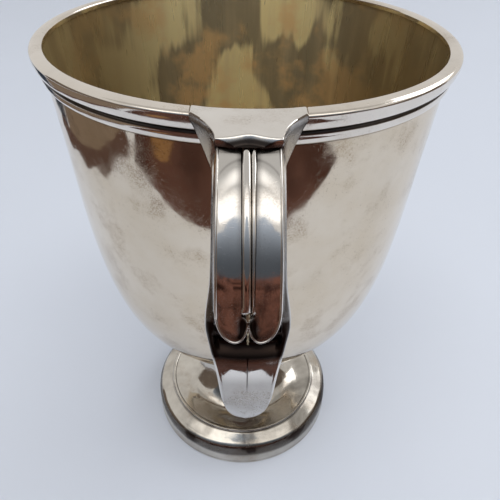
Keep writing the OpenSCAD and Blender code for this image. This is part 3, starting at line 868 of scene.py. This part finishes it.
def make_cap(node, turned):
    """Flat cap over the root: its sides are hollow curves and its edges are rounded by wear."""
    along, across = 90, 81
    u = np.linspace(-1, 1, across)[None, :]
    v = np.linspace(0, 1, along)[:, None]
    front = CAP_FRONT - 0.5 * u**2
    y_mid = MOUTH_R + (front - MOUTH_R) * v
    w = flare_w(y_mid)
    x = u * w
    back = np.sqrt(MOUTH_R**2 - x**2)
    y = back + (front - back) * v
    w = flare_w(y)
    x = u * w
    edge_side = (1 - np.abs(u)) * w
    edge_front = front - y
    edge_back = y - np.sqrt(MOUTH_R**2 - x**2)

    def rounded(distance, radius):
        d = np.clip(distance / radius, 0, 1)
        return radius * (1 - np.sqrt(np.clip(1 - (1 - d) ** 2, 0, 1)))

    wear = hump(x, 0, 3.6)
    past = np.clip(0.5 + 2.3 * wear - edge_front, 0, None)
    front_edge = np.where(past < 0.6, 0.9 * past**2, 0.324 + 1.3 * (past - 0.6))
    drop = rounded(edge_side, 0.45) + front_edge + rounded(edge_back, 0.5)
    drop += 0.10 * smooth(edge_side, 0.5, 4) * smooth(edge_front, 0.8, 4)
    drop = np.minimum(drop, RIM_SEAT - 0.1)
    z_top = RIM_Z - drop
    z_low = np.full_like(z_top, RIM_Z - RIM_SEAT)
    facing = -1 if turned else 1

    def placed(z):
        return np.stack([x * facing, -facing * y, z], -1)

    top, low = placed(z_top), placed(z_low)
    rim = [j * across for j in range(along)]
    rim += [(along - 1) * across + i for i in range(1, across)]
    rim += [j * across + across - 1 for j in range(along - 2, -1, -1)]
    rim += [i for i in range(across - 2, 0, -1)]
    count = along * across
    verts = np.concatenate([top.reshape(-1, 3), low.reshape(-1, 3)])
    faces = grid_faces(along, across)
    faces += [tuple(i + count for i in f[::-1]) for f in faces]
    for a, b in zip(rim, rim[1:] + rim[:1]):
        faces.append((a, b, b + count, a + count))
    # Painted dark reflection on the worn front edge where it turns down, painted shade along the side edges,
    # and painted shade on the underside.
    tarnish_and_shade = 0.97 * smooth(drop, 0.4, 0.95) + 0.5 * (1 - smooth(edge_side, 0.02, 0.2)) * smooth(drop, 0.2, 0.6)
    piece = make_piece(f"{node}_plate", verts, faces, [HANDLE_SILVER],
                       {"tarnish_and_shade": np.concatenate([tarnish_and_shade.ravel(), np.full(count, 0.8)])}, None, 50)
    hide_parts(node)


def make_root(node, side, turned):
    """Half of the flared root that carries the strap and the cap on the side of the bowl."""
    rows, levels, under_steps = 60, 40, 13
    t = np.linspace(0, 1, rows)[:, None]
    h = np.linspace(0, 1, levels)[None, :]
    top_y0, top_z0 = (float(c) for c in front_at(START_ANGLE))
    a = math.radians(START_ANGLE)
    low_y0 = top_y0 - HANDLE_T * math.sin(a)
    low_z0 = top_z0 - HANDLE_T * math.cos(a)
    inner = MOUTH_R + 0.9
    top_y = top_y0 + (inner - top_y0) * t
    low_y = low_y0 + (inner - low_y0) * t
    low_z = low_z0 - 8.6 * t**1.6 - 1.2 * np.sin(np.pi * t)
    top_z = -RIM_SEAT + 0 * t
    y = top_y + (low_y - top_y) * h
    z = top_z + (low_z - top_z) * h
    wide = flare_w(top_y)
    narrow = 6.2 + 1.6 * t
    w = wide + (narrow - wide) * h**0.85
    under = np.linspace(0, np.pi / 2, under_steps + 1)[None, 1:]
    under_x = narrow * np.cos(under) ** 0.8
    under_z = low_z - 0.4 * np.sin(under)
    x = np.concatenate([0 * t, w, under_x], 1)
    yy = np.concatenate([top_y, y, np.repeat(low_y, under_steps, 1)], 1)
    zz = np.concatenate([top_z, z, under_z], 1)
    x[:, -1] = 0
    behind = np.sqrt(np.maximum(bowl_r(-zz) ** 2 - x**2, 0)) - 0.25
    yy = np.where(t > 0.98, behind, np.maximum(yy, behind))
    facing = -1 if turned else 1
    points = np.stack([x * side * facing, -facing * yy, RIM_Z + zz], -1)
    # Painted shade on the sides under the cap's edge, near the strap and where the root meets the bowl, over
    # a slight darkening all over.
    edge = np.concatenate([0 * t, np.broadcast_to((1 - h) ** 2.2, w.shape), 0 * under_x], 1)
    tarnish_and_shade = np.clip(0.16 + 0.75 * edge + 0.8 * smooth(t, 0.8, 0.99) + 0.25 * hump(t, 0, 0.2) + 0 * x, 0, 1)
    piece = make_piece(f"{node}_flare", points.reshape(-1, 3), tube_faces(*points.shape[:2]), [HANDLE_SILVER],
                       {"tarnish_and_shade": tarnish_and_shade.ravel()}, None, 50)
    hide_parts(node)


def make_handles():
    for end, turned in (("front", False), ("rear", True)):
        make_cap(f"{end}_cap", turned)
        for word, side in (("left", -1), ("right", 1)):
            make_root(f"{end}_root_{word}", side, turned)
            make_half(f"{end}_handle_{word}", side, turned)
        make_rib(f"{end}_rib_wide", (-1.37, 0.36), (-1.07, 0.58), 0.06, turned)
        make_rib(f"{end}_rib_narrow", (0.42, 1.45), (0.62, 1.08), 0.0, turned)
        make_seam_strip(f"{end}_seam_strip", turned)


# ---------------------------------------------------------------------------
# Stage, light and camera
# ---------------------------------------------------------------------------


def plain(name, colour, rough=0.6):
    n = Nodes(name)
    cloth = n.noise(9, 3, 0.5)
    dark = tuple(c * 0.985 for c in colour)
    n.join(n.mix(cloth, (*colour, 1), (*dark, 1)), n.shader.inputs["Base Color"])
    n.shader.inputs["Roughness"].default_value = rough
    return n.material


def glow(name, colour, fade=(), grain=None):
    """Light of one colour. Each fade is an axis number with the places and levels at its two ends."""
    material = bpy.data.materials.new(name)
    material.use_nodes = True
    tree = material.node_tree
    tree.nodes.clear()
    emit = tree.nodes.new("ShaderNodeEmission")
    emit.inputs["Color"].default_value = (*colour, 1)
    out = tree.nodes.new("ShaderNodeOutputMaterial")
    tree.links.new(emit.outputs[0], out.inputs["Surface"])
    place = tree.nodes.new("ShaderNodeTexCoord")
    parts = tree.nodes.new("ShaderNodeSeparateXYZ")
    tree.links.new(place.outputs["Object"], parts.inputs[0])

    def level(value, *ends):
        node = tree.nodes.new("ShaderNodeMapRange")
        node.interpolation_type = "SMOOTHSTEP"
        for key, end in zip(("From Min", "From Max", "To Min", "To Max"), ends):
            node.inputs[key].default_value = end
        tree.links.new(value, node.inputs["Value"])
        return node.outputs["Result"]

    levels = [level(parts.outputs[axis], *ends) for axis, *ends in fade]
    if grain is not None:
        stretch = tree.nodes.new("ShaderNodeMapping")
        stretch.inputs["Scale"].default_value = grain[0]
        noise = tree.nodes.new("ShaderNodeTexNoise")
        noise.inputs["Scale"].default_value = 1.0
        noise.inputs["Distortion"].default_value = 1.2
        tree.links.new(place.outputs["Object"], stretch.inputs["Vector"])
        tree.links.new(stretch.outputs["Vector"], noise.inputs["Vector"])
        levels.append(level(noise.outputs["Fac"], 0.40, 0.58, *grain[1:]))
    strength = None
    for one in levels:
        if strength is None:
            strength = one
            continue
        product = tree.nodes.new("ShaderNodeMath")
        product.operation = "MULTIPLY"
        tree.links.new(strength, product.inputs[0])
        tree.links.new(one, product.inputs[1])
        strength = product.outputs[0]
    if strength is not None:
        tree.links.new(strength, emit.inputs["Strength"])
    return material


def stage_mesh(name, verts, faces, material):
    mesh = bpy.data.meshes.new(name)
    mesh.from_pydata(verts, [], faces)
    mesh.materials.append(material)
    mesh.polygons.foreach_set("use_smooth", [True] * len(mesh.polygons))
    thing = bpy.data.objects.new(name, mesh)
    bpy.context.collection.objects.link(thing)
    return thing


def card(name, verts, colour, fade=(), grain=None):
    """A studio card: only reflections see it."""
    thing = stage_mesh(name, verts, [tuple(range(len(verts)))], glow(name, colour, fade, grain))
    thing.visible_camera = False
    thing.visible_diffuse = False
    thing.visible_shadow = False
    return thing


FLOOR_CARD_Z = 0.002
TABLE_EDGE_Y = -0.20
TABLE_LEFT_X, TABLE_RIGHT_X = -0.25, 0.22
TABLE_CHAMFER_X, TABLE_CHAMFER_Y = 0.14, 0.07
NOTCH_HALF, NOTCH_TIP, NOTCH_DEEP = 0.05, 0.055, 0.11
FAR_FRONT = -1.6
DARK_CARD_Y = -0.62


def make_floor_cards():
    """Dark things beside the cup that the bowl mirrors: a brown table in front and one at the left."""

    def floor_card(name, outline, colour, layer=1, grain=None):
        card(name, [(x, y, layer * FLOOR_CARD_Z) for x, y in outline], colour, (), grain)

    corner = [(TABLE_LEFT_X, TABLE_EDGE_Y + TABLE_CHAMFER_Y),
              (TABLE_LEFT_X + TABLE_CHAMFER_X, TABLE_EDGE_Y + 0.01)]
    notch = [(-NOTCH_HALF, TABLE_EDGE_Y), (-NOTCH_HALF, TABLE_EDGE_Y - NOTCH_DEEP),
             (0, TABLE_EDGE_Y - NOTCH_TIP),
             (NOTCH_HALF, TABLE_EDGE_Y - NOTCH_DEEP), (NOTCH_HALF, TABLE_EDGE_Y)]
    right = [(TABLE_RIGHT_X, TABLE_EDGE_Y + 0.01), (0.2, TABLE_EDGE_Y - 0.03), (0.5, FAR_FRONT)]
    floor_card("table_edge_card", corner + notch + right + [(-1.4, FAR_FRONT)],
               (0.088, 0.046, 0.038), 1, ((5, 5, 1), 0.75, 1.2))

    inner_x, outer_x = -0.265, -0.30
    steps = np.linspace(-0.13, 0.22, 22)
    inner = [(inner_x - 0.006 * math.sin(y / 0.015), y) for y in steps]
    outer = [(outer_x, y) for y in steps[::-1]]
    floor_card("side_band_card", inner + outer, (0.10, 0.062, 0.052), 2)
    floor_card("side_patch_card", [(outer_x, 0.16), (outer_x, -0.15), (-1.4, FAR_FRONT), (-1.5, -0.5),
                                   (-0.9, -0.2), (-0.6, 0.3)], (0.20, 0.155, 0.12))
    floor_card("side_blue_card", [(outer_x, 0.17), (outer_x, 0.26), (-0.6, 0.6), (-0.9, 0.5), (-0.6, 0.3)],
               (0.035, 0.045, 0.065), 1.5)
    floor_card("warm_card", arc((-0.215, -0.225), (0.032, 0.038), 0, 330, 11), (0.26, 0.15, 0.07), 1.5)


def make_stage():
    segments = 96
    turn = np.linspace(0, 2 * np.pi, segments, endpoint=False)

    def turned_sheet(name, rings):
        verts = [(r * math.cos(t), r * math.sin(t), z) for r, z in rings for t in turn]
        return stage_mesh(name, verts, grid_faces(len(rings), segments, False, True), paper)

    paper = plain("paper_sweep", (0.70, 0.735, 0.80))
    turned_sheet("floor", [(0.0005, 0), (0.3, 0), (0.8, 0), (1.5, 0)])
    curve_up = arc((1.5, 0.8), (0.8, 0.8), -90, 0, 10)
    wall = turned_sheet("back_wall", curve_up + [(2.3, 2.6)])
    wall.visible_glossy = False

    make_floor_cards()
    card("wood_card", [(-1.5, -1.2, 0.0), (1.5, -1.2, 0.0), (1.5, -1.2, 0.76), (-1.5, -1.2, 0.76)],
         (0.135, 0.06, 0.043), (), ((0.9, 0.9, 9), 0.12, 1.25))
    for side in (-1, 1):
        wall = [(side * 1.5, -1.2, 0), (side * 1.0, -0.3, 0), (side * 1.05, 0.45, 0)]
        wall += [(x, y, 0.62) for x, y, _ in reversed(wall)]
        card("side_wall_card", wall, (0.15, 0.12, 0.10))
    half, low, shoulder, rise = 1.3, 0.40, 0.92, 0.36
    arch = [(-half, low), (half, low), (half, shoulder)]
    arch += [(x, shoulder + rise * math.sqrt(1 - (x / 0.62) ** 2)) for x in np.linspace(0.61, -0.61, 25)]
    arch += [(-half, shoulder)]
    card("dark_card", [(x, DARK_CARD_Y, z) for x, z in arch], (0.21, 0.24, 0.285),
         [(2, 0.45, 1.25, 0.34, 2.2)])
    sky = [(-1.6, -1.05, 1.9), (1.6, -1.05, 1.9), (1.6, 0.6, 1.9), (-1.6, 0.6, 1.9)]
    card("ceiling_card", sky, (1.0, 0.985, 0.96),
         [(1, DARK_CARD_Y, -0.15, 1.7, 0.5), (1, -1.05, -0.85, 0.5, 1.0)])


def make_light():
    world = bpy.data.worlds.new("studio")
    bpy.context.scene.world = world
    world.use_nodes = True
    back = world.node_tree.nodes["Background"]
    back.inputs["Color"].default_value = (0.98, 0.965, 0.945, 1)
    back.inputs["Strength"].default_value = 0.70

    def area(name, place, target, size, power, colour=(1, 1, 1)):
        data = bpy.data.lights.new(name, "AREA")
        data.shape = "RECTANGLE"
        data.size, data.size_y = size
        data.energy = power
        data.color = colour
        lamp = bpy.data.objects.new(name, data)
        lamp.location = place
        aim = Vector(target) - Vector(place)
        lamp.rotation_euler = aim.to_track_quat("-Z", "Y").to_euler()
        bpy.context.collection.objects.link(lamp)
        return lamp

    area("ceiling_light", (0.1, -0.63, 1.88), (0.1, -0.63, 0), (2.0, 0.9), 16).visible_glossy = False
    area("window_light", (1.6, 0.9, 1.3), (0, 0, 0.1), (1.2, 1.0), 9, (0.95, 0.97, 1.0))


FOCAL = 500.0
FRAME = 500.0
TILT = 0.6779
ROLL = -0.0234
HANDLE_TURN = math.radians(1.4)


def make_camera():
    """The photograph's viewpoint. The front handle lies on -Y, and the camera stands a little beside it."""
    data = bpy.data.cameras.new("camera")
    data.sensor_width = 36.0
    data.lens = 36.0 * FOCAL / FRAME
    data.clip_start, data.clip_end = 0.01, 20
    camera = bpy.data.objects.new("camera", data)
    bpy.context.collection.objects.link(camera)
    bpy.context.scene.camera = camera
    back = Vector((0, -math.cos(TILT), math.sin(TILT)))
    right, up = Vector((1, 0, 0)), Vector((0, math.sin(TILT), math.cos(TILT)))
    axis_x = math.cos(ROLL) * right - math.sin(ROLL) * up
    axis_y = math.sin(ROLL) * right + math.cos(ROLL) * up
    place = Vector((0.0406, -2.7133, 0.7249)) * MOUTH_R * MM + Vector((0, 0, RIM_Z * MM))
    matrix = Matrix((axis_x, axis_y, back)).transposed().to_4x4()
    matrix.translation = place
    camera.matrix_world = Matrix.Rotation(-HANDLE_TURN, 4, "Z") @ matrix


make_camera()
make_stage()
make_light()
make_bowl()
make_rim()
make_foot()
make_handles()
bpy.context.scene.view_settings.view_transform = "Standard"
